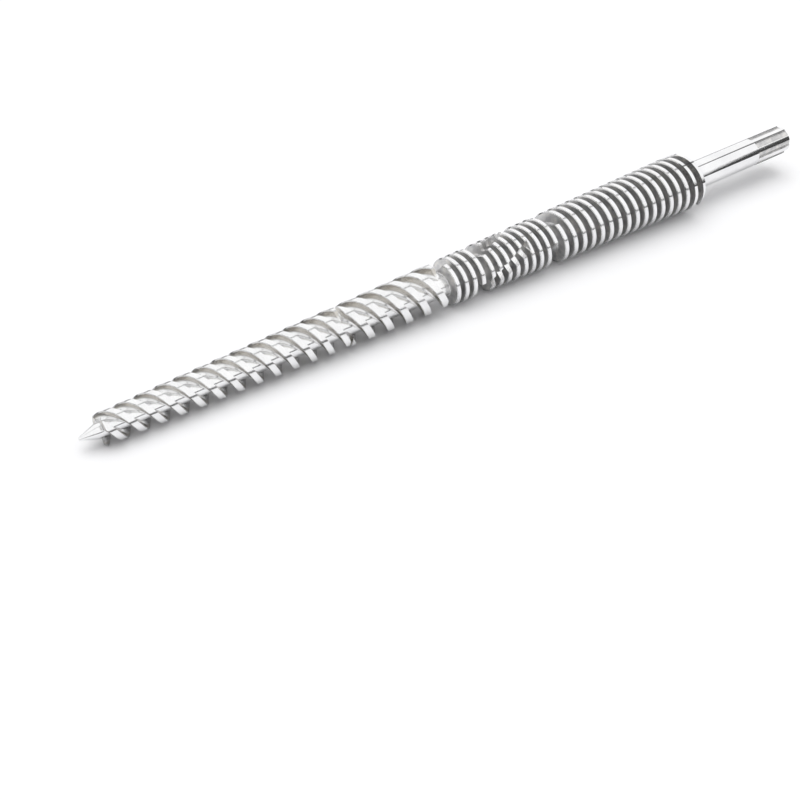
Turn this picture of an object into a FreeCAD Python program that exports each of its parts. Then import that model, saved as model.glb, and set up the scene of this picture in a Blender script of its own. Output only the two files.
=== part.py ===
"""Screw of a conical counter-rotating twin-screw extruder, the right-hand one of the pair.

One solid of steel: nose, tapered core with five flighted zones, drive shaft and spline.
It is shaped upright as on the lathe, tip at the origin and axis up, and laid down on its
flights by its placement. Lengths in mm, angles in degrees. Angles round the axis are
counted right-handed from the side that ends up underneath.
"""
import FreeCAD, Part
import math
import os

import Sketcher
from FreeCAD import Placement, Rotation, Vector

NODE = "extruder_screw"

SIZES = [
    # envelope of the flights: nominal size of the screw
    ("small_diameter", 55), ("large_diameter", 120),
    # stations along the axis, from the tip
    ("nose_cone_end", 30), ("flights_start", 38), ("feed_core_start", 992),
    ("flights_end", 1379), ("spline_start", 1580), ("total_length", 1683),
    # nose and core
    ("nose_tip_radius", 2.5), ("nose_radius", 13), ("core_radius_tip", 12.4),
    ("core_radius_feed", 28.4), ("core_radius_drive", 31), ("root_sink", 1.6),
    # drive shaft with its spline, eight teeth on 52 x 60
    ("shaft_radius", 30), ("shaft_chamfer", 3.5), ("spline_teeth", 8),
    ("spline_floor_radius", 26), ("tooth_width", 10), ("spline_turn", 36),
    ("centre_mouth_radius", 6.6), ("centre_drill_radius", 3.15), ("centre_drill_depth", 16),
    # metering zone: three flights
    ("metering_lead", 109.4), ("metering_land", 11.6), ("metering_slant", 11),
    ("metering_end", 500.5), ("metering_turn", 115.6),
    # vent zone: three flights, steeper
    ("vent_lead", 124.8), ("vent_land", 14.3), ("vent_slant", 11),
    ("vent_start", 507), ("vent_end", 715.8), ("vent_turn", 198.4),
    # throttle zone: one tight flight
    ("throttle_lead", 19.45), ("throttle_land", 7), ("throttle_slant", 8),
    ("throttle_start", 732.9), ("throttle_turn", 187.5), ("throttle_sweep", 1165.5),
    # mixing zone: two tight flights with cross slots
    ("mixing_lead", 38.98), ("mixing_land", 6.8), ("mixing_slant", 8),
    ("mixing_start", 813.2), ("mixing_turn", 206), ("mixing_sweep", 1480),
    # feed zone: two flights, widest channel
    ("feed_lead", 46.81), ("feed_land", 8), ("feed_slant", 6),
    ("feed_start", 991.7), ("feed_turn", 210),
    # flat that ends a flight: how far its plane lies below the core's surface
    ("end_flat_sink", 0.8), ("tip_trim", 22),
    # cross slots of the mixing zone, wound against the flights
    ("slot_count", 4), ("slot_start", 800), ("slot_end", 915.5), ("slot_lead", 621),
    ("slot_depth", 11.8), ("slot_tilt", 24), ("slot_width", 20), ("slot_turn", 218.6),
]

doc = FreeCAD.newDocument("screw")
sheet = doc.addObject("Spreadsheet::Sheet", "sizes")
for row, (alias, value) in enumerate(SIZES, start=1):
    sheet.set("A%d" % row, alias)
    sheet.set("B%d" % row, str(value))
    sheet.setAlias("B%d" % row, alias)
doc.recompute()


def size(alias):
    return float(sheet.get(alias))


def origin_plane(body, role):
    return next(f for f in body.Origin.OriginFeatures if f.Role == role)


def add_sketch(body, name, role):
    sketch = doc.addObject("Sketcher::SketchObject", name)
    body.addObject(sketch)
    sketch.AttachmentSupport = [(origin_plane(body, role), "")]
    sketch.MapMode = "FlatFace"
    return sketch


def closed_outline(sketch, corners):
    """Draws straight lines from corner to corner, each corner held by two bound sizes."""
    at = [Vector(*(evaluate(sketch, c) for c in corner), 0) for corner in corners]
    count = len(at)
    for i in range(count):
        sketch.addGeometry(Part.LineSegment(at[i], at[(i + 1) % count]), False)
    for i in range(count):
        sketch.addConstraint(Sketcher.Constraint("Coincident", i, 2, (i + 1) % count, 1))
    for i, corner in enumerate(corners):
        for kind, text, value in zip(("DistanceX", "DistanceY"), corner, (at[i].x, at[i].y)):
            index = sketch.addConstraint(Sketcher.Constraint(kind, -1, 1, i, 1, value))
            if text != "0":
                sketch.setExpression("Constraints[%d]" % index, text)


def evaluate(sketch, text):
    return float(getattr(sketch.evalExpression(text), "Value", sketch.evalExpression(text)))


# core with nose, drive shaft and centre hole: one outline turned about the axis

core = doc.addObject("PartDesign::Body", "core")
profile = add_sketch(core, "core_profile", "XZ_Plane")
closed_outline(profile, [
    ("0", "0"),
    ("sizes.nose_tip_radius", "0"),
    ("sizes.nose_radius", "sizes.nose_cone_end"),
    ("sizes.nose_radius", "sizes.flights_start"),
    ("sizes.core_radius_tip", "sizes.flights_start"),
    ("sizes.core_radius_feed", "sizes.feed_core_start"),
    ("sizes.core_radius_drive", "sizes.flights_end"),
    ("sizes.shaft_radius", "sizes.flights_end"),
    ("sizes.shaft_radius", "sizes.total_length - sizes.shaft_chamfer"),
    ("sizes.shaft_radius - sizes.shaft_chamfer", "sizes.total_length"),
    ("sizes.centre_mouth_radius", "sizes.total_length"),
    ("sizes.centre_drill_radius",
     "sizes.total_length - (sizes.centre_mouth_radius - sizes.centre_drill_radius) * 1.732"),
    ("sizes.centre_drill_radius", "sizes.total_length - sizes.centre_drill_depth"),
    ("0", "sizes.total_length - sizes.centre_drill_depth - sizes.centre_drill_radius * 0.6"),
])
doc.recompute()
turned = doc.addObject("PartDesign::Revolution", "turned_core")
core.addObject(turned)
turned.Profile = profile
turned.ReferenceAxis = (profile, ["V_Axis"])
turned.Angle = 360
profile.Visibility = False
doc.recompute()

# spline: one straight-sided groove milled from the drive end, repeated round the shaft

groove_sketch = add_sketch(core, "spline_groove", "XY_Plane")
groove_sketch.setExpression("AttachmentOffset.Base.z", "sizes.total_length")
groove_sketch.AttachmentOffset = Placement(
    Vector(0, 0, size("total_length")), Rotation(Vector(0, 0, 1), size("spline_turn")))
groove_sketch.setExpression("AttachmentOffset.Rotation.Angle", "sizes.spline_turn * 1deg")
HALF_GROOVE = ("({x} * tan(180deg / sizes.spline_teeth)"
               " - sizes.tooth_width / 2 / cos(180deg / sizes.spline_teeth))")
floor_half = HALF_GROOVE.format(x="sizes.spline_floor_radius")
mouth_half = HALF_GROOVE.format(x="(sizes.shaft_radius + 3)")
closed_outline(groove_sketch, [
    ("sizes.spline_floor_radius", "-" + floor_half),
    ("sizes.shaft_radius + 3", "-" + mouth_half),
    ("sizes.shaft_radius + 3", mouth_half),
    ("sizes.spline_floor_radius", floor_half),
])
doc.recompute()
groove = doc.addObject("PartDesign::Pocket", "groove")
core.addObject(groove)
groove.Profile = groove_sketch
groove.setExpression("Length", "sizes.total_length - sizes.spline_start")
groove_sketch.Visibility = False
core.Tip = groove
doc.recompute()
grooves = doc.addObject("PartDesign::PolarPattern", "grooves")
core.addObject(grooves)
grooves.Originals = [groove]
grooves.Axis = (groove_sketch, ["N_Axis"])
grooves.Angle = 360
grooves.setExpression("Occurrences", "sizes.spline_teeth")
core.Tip = grooves
doc.recompute()

# flights: the land lies on the tapered envelope, the foot a little inside the core

taper = ((size("large_diameter") - size("small_diameter")) / 2
         / (size("flights_end") - size("flights_start")))


def envelope_radius(z):
    return size("small_diameter") / 2 + taper * (z - size("flights_start"))


def core_radius(z):
    split = size("feed_core_start")
    if z < split:
        low, r_low = size("flights_start"), size("core_radius_tip")
        high, r_high = split, size("core_radius_feed")
    else:
        low, r_low = split, size("core_radius_feed")
        high, r_high = size("flights_end"), size("core_radius_drive")
    return r_low + (r_high - r_low) * (z - low) / (high - low)


def wound_point(path, angle):
    radius, turn, z = path(angle)
    return Vector(radius * math.cos(turn), radius * math.sin(turn), z)


def wound_curve(path, angles):
    """Smooth curve through the points a path gives for each angle round the axis."""
    curve = Part.BSplineCurve()
    curve.interpolate(Points=[wound_point(path, a) for a in angles], Parameters=angles)
    return curve


def ruled_face(first, second):
    """Face of straight lines from one wound curve to the other at the same angle."""
    surface = Part.BSplineSurface()
    surface.buildFromPolesMultsKnots(
        [first.getPoles(), second.getPoles()], [2, 2], first.getMultiplicities(),
        [0.0, 1.0], first.getKnots(), False, False, 1, first.Degree)
    return surface.toShape()


def wound_solid(paths, sweep, stretch=120, step=15):
    """Solid with one wound edge for each path and a flat face at either end."""
    count = max(1, math.ceil(sweep / stretch))
    ends = [sweep * i / count for i in range(count + 1)]
    inner = max(2, math.ceil(sweep / count / step))
    faces = []
    for low, high in zip(ends, ends[1:]):
        angles = [low + (high - low) * i / inner for i in range(inner + 1)]
        curves = [wound_curve(path, angles) for path in paths]
        faces += [ruled_face(a, b) for a, b in zip(curves, curves[1:] + curves[:1])]
    for end in (ends[0], ends[-1]):
        corners = [wound_point(path, end) for path in paths]
        faces.append(Part.Face(Part.makePolygon(corners + corners[:1])))
    skin = Part.makeCompound(faces)
    skin.sewShape(1e-5)
    solid = Part.makeSolid(skin.Shells[0])
    if solid.Volume < 0:
        solid.reverse()
    return solid


def flight(zone, start_angle, z_start, sweep):
    """One flight whose tip-side land edge starts at z_start and start_angle."""
    lead, land = size(zone + "_lead"), size(zone + "_land")
    z_middle = z_start + lead * sweep / 720
    height = envelope_radius(z_middle) - core_radius(z_middle)
    foot = (height + size("root_sink")) * math.tan(math.radians(size(zone + "_slant")))

    def edge_path(shift, radius_at):
        def path(angle):
            z = z_start + shift + lead * angle / 360
            return radius_at(z), math.radians(start_angle + angle), z
        return path

    def foot_radius(z):
        return core_radius(z) - size("root_sink")

    return wound_solid([
        edge_path(-foot, foot_radius), edge_path(0, envelope_radius),
        edge_path(land, envelope_radius), edge_path(land + foot, foot_radius)], sweep)


def end_flat_distance(z):
    return core_radius(z) - size("end_flat_sink")


def end_flat_turn(z):
    """Angle from a flight's last land point to the foot of its end flat."""
    return math.degrees(math.acos(end_flat_distance(z) / envelope_radius(z)))


def end_flat(land_angle, z, side, reach):
    """Block that mills off a flight's end on a flat, from the land at land_angle on.

    side is 1 where the flight ends and -1 where it starts; reach is its half length.
    """
    width = 3 * envelope_radius(z)
    block = Part.makeBox(width, width, 2 * reach,
                         Vector(end_flat_distance(z), -width / 2, z - reach))
    block.rotate(Vector(), Vector(0, 0, 1), land_angle + side * end_flat_turn(z))
    return block


def slice_between(low, high):
    return Part.makeCylinder(size("large_diameter"), high - low, Vector(0, 0, low))


def long_zone(zone, starts, z_low, z_high, trimmed):
    """Steep flights of a zone, cut square at both ends; sharp last corners milled off."""
    lead, land = size(zone + "_lead"), size(zone + "_land")
    before = 1.8 * land
    sweep = (z_high - z_low + 2 * before) * 360 / lead
    pieces = []
    for k in range(starts):
        turn = size(zone + "_turn") + k * 360 / starts
        piece = flight(zone, turn - before * 360 / lead, z_low - before, sweep)
        piece = piece.common(slice_between(z_low, z_high))
        if trimmed:
            last = turn + (z_high - z_low) * 360 / lead - size("tip_trim")
            piece = piece.cut(end_flat(last, z_high, 1, land))
        pieces.append(piece)
    return pieces


def tight_zone(zone, starts, sweep, z_high=None):
    """Tight flights of a zone, each starting and ending on a milled flat."""
    lead, land = size(zone + "_lead"), size(zone + "_land")
    reach = lead / starts / 2 + land / 2
    z_start = size(zone + "_start")
    first_run = end_flat_turn(z_start)
    z_end = z_start + lead * sweep / 360
    last_run = end_flat_turn(z_end) if z_high is None else 0
    pieces = []
    for k in range(starts):
        turn = size(zone + "_turn") + k * 360 / starts
        piece = flight(zone, turn - first_run, z_start - lead * first_run / 360,
                       first_run + sweep + last_run)
        z_flat = z_start + land / 2 - lead * first_run / 720
        piece = piece.cut(end_flat(turn, z_flat, -1, reach))
        if z_high is None:
            z_flat = z_end + land / 2 + lead * last_run / 720
            piece = piece.cut(end_flat(turn + sweep, z_flat, 1, reach))
        else:
            piece = piece.common(slice_between(0, z_high))
        pieces.append(piece)
    return pieces


# cross slots: a floor that rises to the outside and a wall square to it


def cross_slot(start_angle):
    z_start, z_end = size("slot_start"), size("slot_end")
    tilt = math.radians(size("slot_tilt"))
    deep = envelope_radius((z_start + z_end) / 2) - size("slot_depth")
    outside = envelope_radius(z_end) + 4
    along = deep * math.sin(tilt)
    floor = math.sqrt(along ** 2 + outside ** 2 - deep ** 2) - along
    to_floor = Vector(math.sin(tilt), math.cos(tilt), 0) * floor
    to_wall = Vector(math.cos(tilt), -math.sin(tilt), 0) * size("slot_width")
    corner = Vector(deep, 0, 0)
    outline = [corner, corner + to_floor, corner + to_floor + to_wall, corner + to_wall]
    z_middle = (z_start + z_end) / 2
    sweep = (z_end - z_start) * 360 / size("slot_lead")

    def corner_path(point):
        radius, offset = point.Length, math.atan2(point.y, point.x)

        def path(angle):
            z = z_end - size("slot_lead") * angle / 360
            rise = taper * (z - z_middle)
            return radius + rise, math.radians(start_angle + angle) + offset, z
        return path

    return wound_solid([corner_path(point) for point in outline], sweep)


def add_feature(name, shape):
    feature = doc.addObject("Part::Feature", name)
    feature.Shape = shape
    return feature


slot_count = int(size("slot_count"))
slots = [add_feature("cross_slot", cross_slot(size("slot_turn") + k * 360 / slot_count))
         for k in range(slot_count)]
zones = {
    "metering": long_zone("metering", 3, size("flights_start"), size("metering_end"), True),
    "vent": long_zone("vent", 3, size("vent_start"), size("vent_end"), True),
    "throttle": tight_zone("throttle", 1, size("throttle_sweep")),
    "mixing": [piece.cut([slot.Shape for slot in slots])
               for piece in tight_zone("mixing", 2, size("mixing_sweep"))],
    "feed": tight_zone(
        "feed", 2, (size("flights_end") - size("feed_start") + 12) * 360 / size("feed_lead"),
        size("flights_end")),
}
flights = [add_feature("%s_flight" % zone, piece)
           for zone, pieces in zones.items() for piece in pieces]

screw = core
for piece in flights:
    joined = doc.addObject("Part::Fuse", "core_with_flights")
    joined.Base = screw
    joined.Tool = piece
    screw = joined
screw.Label = NODE
doc.recompute()

# laid down: the tapered envelope rests on the ground along its underside

lean = 90 - math.degrees(math.atan(taper))
across = math.cos(math.radians(lean))
foot_height = envelope_radius(0) * math.sin(math.radians(lean))
half_length = (size("total_length") * math.sin(math.radians(lean))
               + (size("shaft_radius") - size("shaft_chamfer")) * across) / 2
screw.Placement = Placement(Vector(-half_length, 0, foot_height),
                            Rotation(Vector(0, 1, 0), lean))

for thing in doc.Objects:
    if {"Invalid", "Error"} & set(thing.State):
        raise RuntimeError("%s did not build" % thing.Label)
if screw.Shape.isNull() or not screw.Shape.isValid():
    raise RuntimeError("the screw has no sound shape")
if len(screw.Shape.Solids) != 1:
    raise RuntimeError("the screw is not one solid")

os.makedirs("parts", exist_ok=True)
screw.Shape.exportStep("parts/%s.step" % NODE)
print(NODE, "volume cm3 %.1f" % (screw.Shape.Volume / 1000), screw.Shape.BoundBox)
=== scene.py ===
"""Studio picture of a conical extruder screw: machined steel on a pale floor."""
import math
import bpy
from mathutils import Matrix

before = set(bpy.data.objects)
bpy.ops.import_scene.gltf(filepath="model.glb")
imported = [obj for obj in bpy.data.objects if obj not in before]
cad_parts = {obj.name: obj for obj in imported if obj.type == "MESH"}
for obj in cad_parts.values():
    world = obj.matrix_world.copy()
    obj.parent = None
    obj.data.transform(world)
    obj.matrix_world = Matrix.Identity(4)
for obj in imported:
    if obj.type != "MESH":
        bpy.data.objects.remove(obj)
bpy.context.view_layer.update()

from types import SimpleNamespace

import bpy
from mathutils import Euler, Vector

scene = bpy.context.scene
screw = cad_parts["extruder_screw"]

# camera at the photograph's place: metres, degrees, millimetres
CAMERA_PLACE = (-1.45584, -1.58611, 1.34298)
CAMERA_TURN = (52.99115, -1.05961, -37.59611)
CAMERA_LENS = 59.79
CAMERA_SENSOR = 36
CAMERA_NEAR = 0.05

# the screw's own axis in the part's frame, for looks that follow the turning
TIP = Vector((-0.841574, 0, 0.026571))
TAPER = 32.5 / 1341
LEAN = math.radians(90) - math.atan(TAPER)

# radii along that axis, each as slope and radius at the tip
ENVELOPE = (TAPER, 0.026579)
FRONT_CORE = (0.016771, 0.011763)
REAR_CORE = (0.006718, 0.021735)

# places along the axis, from the tip; the last turns of the flights mirror as the shaft does
NOSE_END = 0.030
VENT_END = 0.716
CONE_END = 1.3405
STRAIGHT_START = 1.3415
FLIGHTS_END = 1.3792
SPLINE_START = 1.5802

# how far under the envelope the lands and their bright edges reach
LAND_REACH = -0.0013
EDGE_REACH = -0.0026
# how far over the core a flank starts, and how high its root is on open and on close turns
FLANK_START = 0.0008
OPEN_ROOT = 0.0104
TIGHT_ROOT = 0.0030
# what lies inside this radius on the spline is a groove
GROOVE_RADIUS = 0.0293

# how far the normals of turned surfaces lean along the axis
CORE_SLOPE = -0.0155
NOSE_SLOPE = -0.35
STRAIGHT_SLOPE = 0.0

# colours of the steel at stops of the noise that blends them
BRIGHT = [(0.3, (0.84, 0.84, 0.85)), (0.7, (0.93, 0.93, 0.93))]
# warm grey of the open flanks: a warm tint, darkened below the lands' colour as painted shade
WARM_TINT_AND_PAINTED_SHADE = [(0.3, (0.50, 0.475, 0.435)), (0.7, (0.74, 0.72, 0.68))]
DULL = [(0.3, (0.50, 0.50, 0.51)), (0.55, (0.68, 0.675, 0.67)), (0.72, (0.88, 0.85, 0.81))]
TOOL_MARKS = [(0.3, (0.82, 0.82, 0.82)), (0.7, (1, 1, 1))]

# roughness and bump of the steel
TURNED_ROUGH = 0.10
STRAIGHT_ROUGH = 0.04
FLANK_ROUGH = 0.20
MILLED_ROUGH = 0.26
TURNED_BUMP = 0.10
STRAIGHT_BUMP = 0.04
BUMP_HEIGHT = 0.0004
MILLED_METAL = 0.84

WHITE = (1, 1, 1, 1)
FLOOR_WHITE = (0.9, 0.9, 0.91, 1)
FLOOR_LIFT = 0.01
FLOOR_REACH = 12
FLOOR_HEIGHT = -0.0004

# what the metal mirrors, as stops of place and level: horizon, strip overhead, wall past the nose
HORIZON = [(0.0, 0.06), (0.06, 0.08), (0.09, 1.0)]
STRIP = [(0.51, 1.0), (0.53, 0.15), (0.59, 0.15), (0.61, 1.0)]
WALL = [(0.02, 0.42), (0.12, 0.62), (0.26, 1.0)]
MIRROR_LEVEL = 1.12
SECOND_MIRROR_LEVEL = 0.05

# where the horizon is higher, and by how much: beyond the drive end, and towards the nose
SHAFT_LEAN = 0.024
BEYOND_START = 0.683
BEYOND_RISE = 0.34
NOSEWARD_END = 0.47
NOSEWARD_RISE = 0.11

# light on the floor
DOME_LEVEL = 1.88
SUN_PLACE = (0.1, 0.45, 1.9)
SUN_LEVEL = 0.65
SUN_SPREAD = 60


class Nodes:
    """Short way to write a node tree: values go in as numbers, links as sockets."""

    def __init__(self, tree):
        self.tree = tree
        tree.nodes.clear()

    def add(self, kind, out=0, **inputs):
        """Adds a node and gives one of its outputs, or the node itself where out is None."""
        node = self.tree.nodes.new("ShaderNode" + kind)
        for name, value in inputs.pop("settings", {}).items():
            setattr(node, name, value)
        for name, value in inputs.items():
            key = int(name[1:]) if name[0] == "i" and name[1:].isdigit() else name.replace("_", " ")
            self.put(node.inputs[key], value)
        return node if out is None else node.outputs[out]

    def put(self, socket, value):
        if isinstance(value, bpy.types.NodeSocket):
            self.tree.links.new(value, socket)
        else:
            socket.default_value = value

    def math(self, operation, a, b=0.0, c=0.0, clamp=False):
        return self.add("Math", settings={"operation": operation, "use_clamp": clamp},
                        i0=a, i1=b, i2=c)

    def plus(self, a, b, clamp=False):
        return self.math("ADD", a, b, clamp=clamp)

    def minus(self, a, b):
        return self.math("SUBTRACT", a, b)

    def times(self, a, b):
        return self.math("MULTIPLY", a, b)

    def line(self, value, slope, start):
        return self.math("MULTIPLY_ADD", value, slope, start)

    def over(self, value, limit, steepness):
        """Rises from 0 to 1 just above the limit."""
        return self.math("MULTIPLY", self.minus(value, limit), steepness, clamp=True)

    def under(self, value, limit, steepness):
        """Rises from 0 to 1 just below the limit."""
        return self.math("MULTIPLY", self.minus(limit, value), steepness, clamp=True)

    def ramp(self, factor, stops):
        node = self.add("ValToRGB", out=None, Fac=factor)
        elements = node.color_ramp.elements
        while len(elements) < len(stops):
            elements.new(0.5)
        for element, (position, colour) in zip(elements, stops):
            element.position = position
            element.color = (*colour, 1)
        return node.outputs[0]

    def grey_ramp(self, factor, stops):
        return self.ramp(factor, [(position, (level,) * 3) for position, level in stops])

    def noise(self, place, scale, detail, roughness=0.5):
        return self.add("TexNoise", Vector=place, Scale=scale, Detail=detail, Roughness=roughness)

    def mix(self, factor, a, b, blend_type="MIX"):
        return self.add("MixRGB", settings={"blend_type": blend_type}, Fac=factor, Color1=a, Color2=b)

    def blend(self, factor, a, b):
        return self.add("Mix", settings={"data_type": "FLOAT"}, i0=factor, i2=a, i3=b)

    def blend_vector(self, factor, a, b):
        return self.add("Mix", settings={"data_type": "VECTOR"}, out=1, i0=factor, i4=a, i5=b)


def new_material(name):
    material = bpy.data.materials.new(name)
    material.use_nodes = True
    return material, Nodes(material.node_tree)


def make_camera():
    data = bpy.data.cameras.new("camera")
    data.lens = CAMERA_LENS
    data.sensor_width = CAMERA_SENSOR
    data.clip_start = CAMERA_NEAR
    camera = bpy.data.objects.new("camera", data)
    camera.location = CAMERA_PLACE
    camera.rotation_euler = Euler([math.radians(angle) for angle in CAMERA_TURN])
    scene.collection.objects.link(camera)
    scene.camera = camera


def screw_zones(n):
    """Where a point lies on the screw; the masks are 1 inside and 0 outside."""
    geometry = n.add("NewGeometry", out=None).outputs
    turned = n.add("Mapping", settings={"vector_type": "TEXTURE"}, Vector=geometry["Position"],
                   Location=TIP, Rotation=(0, LEAN, 0))
    x, y, z = n.add("SeparateXYZ", out=None, Vector=turned).outputs
    radius = n.math("SQRT", n.plus(n.times(x, x), n.times(y, y)))

    # the edges of the lands are broken, so the bright ground band is a little wider
    height = n.minus(radius, n.line(z, *ENVELOPE))
    land = n.over(height, LAND_REACH, 1500)
    edge = n.over(height, EDGE_REACH, 1500)
    straight = n.over(z, STRAIGHT_START, 4000)

    # the normal of the cone or cylinder that a point was turned on
    slope = n.blend(straight, n.blend(land, CORE_SLOPE, -TAPER), STRAIGHT_SLOPE)
    slope = n.blend(n.under(z, NOSE_END, 8000), slope, NOSE_SLOPE)
    outward = n.add("CombineXYZ", X=n.math("DIVIDE", x, radius), Y=n.math("DIVIDE", y, radius),
                    Z=slope)
    outward = n.add("Mapping", settings={"vector_type": "VECTOR"}, Rotation=(0, LEAN, 0),
                    Vector=outward)
    facing = n.add("VectorMath", settings={"operation": "DOT_PRODUCT"}, out=1,
                   i0=geometry["True Normal"], i1=outward)

    depth = n.minus(radius, n.math("MINIMUM", n.line(z, *FRONT_CORE), n.line(z, *REAR_CORE)))
    flank = n.times(n.over(depth, FLANK_START, 1500), n.minus(1.0, edge))
    flank = n.times(flank, n.under(facing, 0.8, 10))
    # the zones behind the vent zone have close turns, and duller flanks
    tight = n.times(n.over(z, VENT_END, 400), n.under(z, FLIGHTS_END, 4000))
    groove = n.times(n.over(z, SPLINE_START, 4000), n.under(radius, GROOVE_RADIUS, 3000))
    milled = n.plus(n.times(flank, tight), groove, clamp=True)
    polished_flank = n.times(flank, n.minus(1.0, tight))
    # the milling cutter left a round root where a flank meets the core: bent normals shade it round,
    # and on open flanks it is painted bright as a painted highlight
    root = n.times(flank, n.under(depth, n.blend(tight, OPEN_ROOT, TIGHT_ROOT),
                                  n.blend(tight, 210.0, 450.0)))
    return SimpleNamespace(
        facet=geometry["Normal"], turned=turned, z=z, turn=n.math("ARCTAN2", y, x), radius=radius,
        edge=edge, straight=straight, outward=outward, facing=facing, flank=flank, tight=tight,
        milled=milled, polished_flank=polished_flank, root=root)


def steel_colour(n, at, patches, marks):
    """Bright where it was ground or polished, warm grey darkened by painted shade on open flanks,
    painted bright at their roots as a painted highlight, dull where milled.
    """
    stains = n.noise(at.turned, 75.0, 3.0, 0.55)
    # painted highlight at the roots of open flanks, painted shade on the rest of them
    painted_highlight_root = n.times(at.root, at.polished_flank)
    painted_shade_flank = n.minus(at.polished_flank, painted_highlight_root)
    colour = n.mix(painted_shade_flank, n.ramp(patches, BRIGHT), n.ramp(patches, WARM_TINT_AND_PAINTED_SHADE))
    colour = n.mix(at.milled, colour, n.ramp(stains, DULL))
    return n.mix(0.5, colour, n.ramp(marks, TOOL_MARKS), "MULTIPLY")


def steel_roughness(n, at, patches, marks):
    turned = n.blend(at.straight, TURNED_ROUGH, STRAIGHT_ROUGH)
    base = n.blend(at.milled, n.blend(at.polished_flank, turned, FLANK_ROUGH), MILLED_ROUGH)
    uneven = n.line(n.minus(patches, 0.5), 0.14, n.times(marks, 0.10))
    return n.math("MULTIPLY_ADD", uneven, n.blend(at.straight, 1.0, 0.35), base, clamp=True)


def steel_normal(n, at, marks):
    """Lands, core and shaft are turned surfaces, so they mirror as smooth cones."""
    fine = n.noise(at.turned, 900.0, 2.0)
    turned_part = n.times(n.over(at.facing, 0.93, 30), n.minus(1.0, at.flank))
    turned_part = n.math("MAXIMUM", turned_part, n.times(at.edge, n.under(at.z, CONE_END, 4000)))
    bend = n.times(at.root, n.blend(at.tight, 0.5, 1.0))
    normal = n.blend_vector(n.math("MAXIMUM", turned_part, bend), at.facet, at.outward)
    normal = n.add("VectorMath", settings={"operation": "NORMALIZE"}, i0=normal)
    return n.add("Bump", Strength=n.blend(at.straight, TURNED_BUMP, STRAIGHT_BUMP),
                 Distance=BUMP_HEIGHT, Normal=normal,
                 Height=n.plus(n.times(marks, 0.7), n.times(fine, 0.3)))


def screw_steel():
    """Turned and milled steel: ground lands, polished core, milled flanks and grooves."""
    material, n = new_material("screw_steel")
    at = screw_zones(n)
    # tool marks run round the axis, and patches lie over them
    rings = n.add("CombineXYZ", X=n.times(at.z, 2600.0), Y=n.times(at.radius, 2600.0),
                  Z=n.times(at.turn, 1.2))
    marks = n.noise(rings, 1.0, 3.0, 0.6)
    patches = n.noise(at.turned, 22.0, 5.0, 0.6)
    shader = n.add("BsdfPrincipled", Base_Color=steel_colour(n, at, patches, marks),
                   Roughness=steel_roughness(n, at, patches, marks),
                   Normal=steel_normal(n, at, marks), Metallic=n.blend(at.milled, 1.0, MILLED_METAL))
    n.add("OutputMaterial", out=None, Surface=shader)
    return material


def floor_material():
    """Pale floor: white to the camera where it is lit, grey in the screw's shadow."""
    material, n = new_material("floor")
    ray = n.add("LightPath", out=None).outputs
    lift = n.add("Emission", Color=WHITE, Strength=n.times(ray["Is Camera Ray"], FLOOR_LIFT))
    diffuse = n.add("BsdfDiffuse", Color=FLOOR_WHITE)
    n.add("OutputMaterial", out=None, Surface=n.add("AddShader", i0=diffuse, i1=lift))
    return material


def make_floor():
    mesh = bpy.data.meshes.new("floor")
    corners = [(-1, -1), (1, -1), (1, 1), (-1, 1)]
    mesh.from_pydata([(x * FLOOR_REACH, y * FLOOR_REACH, 0) for x, y in corners],
                     [], [(0, 1, 2, 3)])
    floor = bpy.data.objects.new("floor", mesh)
    floor.location.z = FLOOR_HEIGHT
    scene.collection.objects.link(floor)
    mesh.materials.append(floor_material())


def make_world():
    """White to the camera, a soft dome of light on the floor, and a studio for the metal to mirror."""
    world = bpy.data.worlds.new("studio")
    scene.world = world
    world.use_nodes = True
    n = Nodes(world.node_tree)
    ray = n.add("LightPath", out=None).outputs
    side, back, up = n.add("SeparateXYZ", out=None, Vector=n.add("TexCoord", out=0)).outputs

    # all round the leaning shaft this sum is the same, so it mirrors one straight edge
    beyond = n.over(n.line(up, SHAFT_LEAN, side), BEYOND_START, 24.0)
    rise = n.times(n.times(beyond, n.under(back, 0.0, 1000.0)), BEYOND_RISE)
    rise = n.line(n.under(side, NOSEWARD_END, 20.0), NOSEWARD_RISE, rise)
    sky = n.grey_ramp(n.minus(up, rise), HORIZON)
    # the strip overhead is wider beyond the drive end
    tilt = n.math("DIVIDE", n.math("DIVIDE", back, up), n.line(beyond, 1.5, 1.0))
    strip = n.grey_ramp(n.plus(tilt, 0.5), STRIP)
    wall = n.grey_ramp(n.line(side, 0.5, 0.5), WALL)
    mirrored = n.times(n.times(n.times(sky, strip), wall), MIRROR_LEVEL)

    # the metal throws little of this light on the floor, so the shadow under it stays deep
    first = n.under(ray["Diffuse Depth"], 1.0, 1.0)
    dome = n.times(n.math("POWER", n.math("MAXIMUM", up, 0.0), 2.0), DOME_LEVEL)
    seen = n.blend(ray["Is Glossy Ray"], dome, n.blend(first, SECOND_MIRROR_LEVEL, mirrored))
    level = n.blend(ray["Is Camera Ray"], seen, 1.0)
    n.add("OutputWorld", out=None, Surface=n.add("Background", Color=level, Strength=1.0))


def make_sun():
    """Weak and wide, only for the shadow: the metal doesn't mirror it."""
    data = bpy.data.lights.new("sun", "SUN")
    data.energy = SUN_LEVEL
    data.angle = math.radians(SUN_SPREAD)
    sun = bpy.data.objects.new("sun", data)
    sun.location = SUN_PLACE
    sun.rotation_euler = Vector(SUN_PLACE).to_track_quat("Z", "Y").to_euler()
    sun.visible_glossy = False
    scene.collection.objects.link(sun)


make_camera()
make_floor()
make_world()
make_sun()

screw.data.materials.clear()
screw.data.materials.append(screw_steel())

scene.view_settings.view_transform = "Standard"
